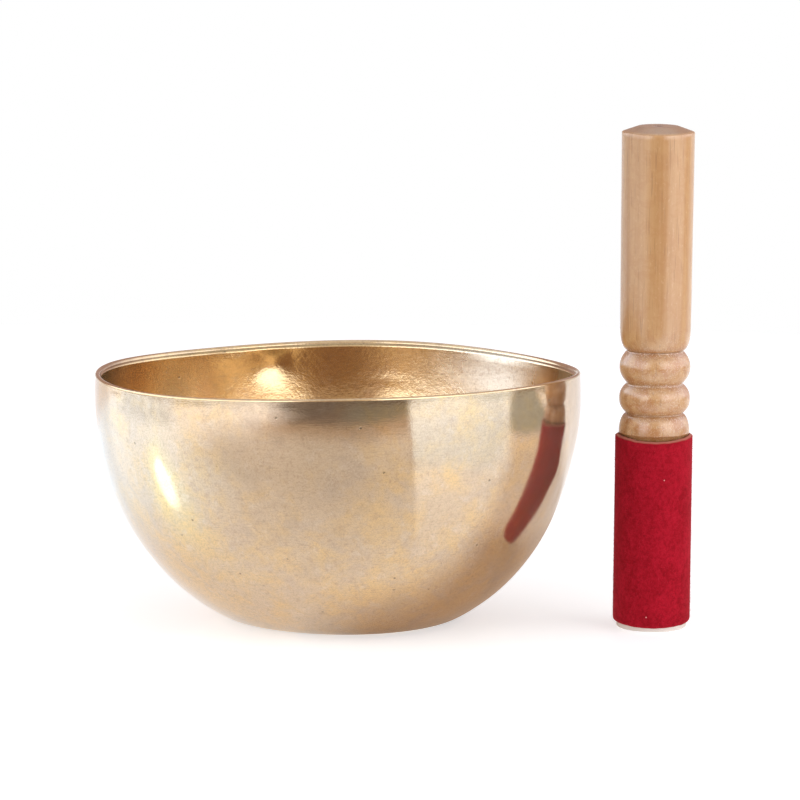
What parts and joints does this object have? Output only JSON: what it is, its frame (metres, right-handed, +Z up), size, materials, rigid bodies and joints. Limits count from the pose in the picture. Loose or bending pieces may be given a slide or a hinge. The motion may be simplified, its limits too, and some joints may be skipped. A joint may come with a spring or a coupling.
{
  "type": "singing bowl with mallet",
  "caption": "Hand-beaten bronze bowl on a flat base, with a turned wooden mallet sleeved in red suede standing beside it; it rings when struck or rubbed round the rim.",
  "frame": {"origin": "centre of the flat underside of the bowl's base", "axes": "+Z up along the bowl's axis, +X towards the side where the mallet stands, -Y the front"},
  "size_m": [0.2455, 0.2, 0.2068],
  "materials": {
    "bronze": "hand-beaten, brushed and lightly polished, mottled patina",
    "turned_wood": "turned and sanded, thin satin lacquer",
    "glue": "set contact glue, a dull film",
    "suede": "dyed suede, nap outwards"
  },
  "bodies": {
    "bowl": {"bowl": "bronze"},
    "mallet": {"mallet_stick": "turned_wood", "glue_film": "glue", "suede_sleeve": "suede"}
  },
  "joints": [
    {"name": "mallet_lift", "type": "slide", "parent": "bowl", "child": "mallet", "axis": [0, 0, 1], "range_m": [0, 0.18]}
  ]
}
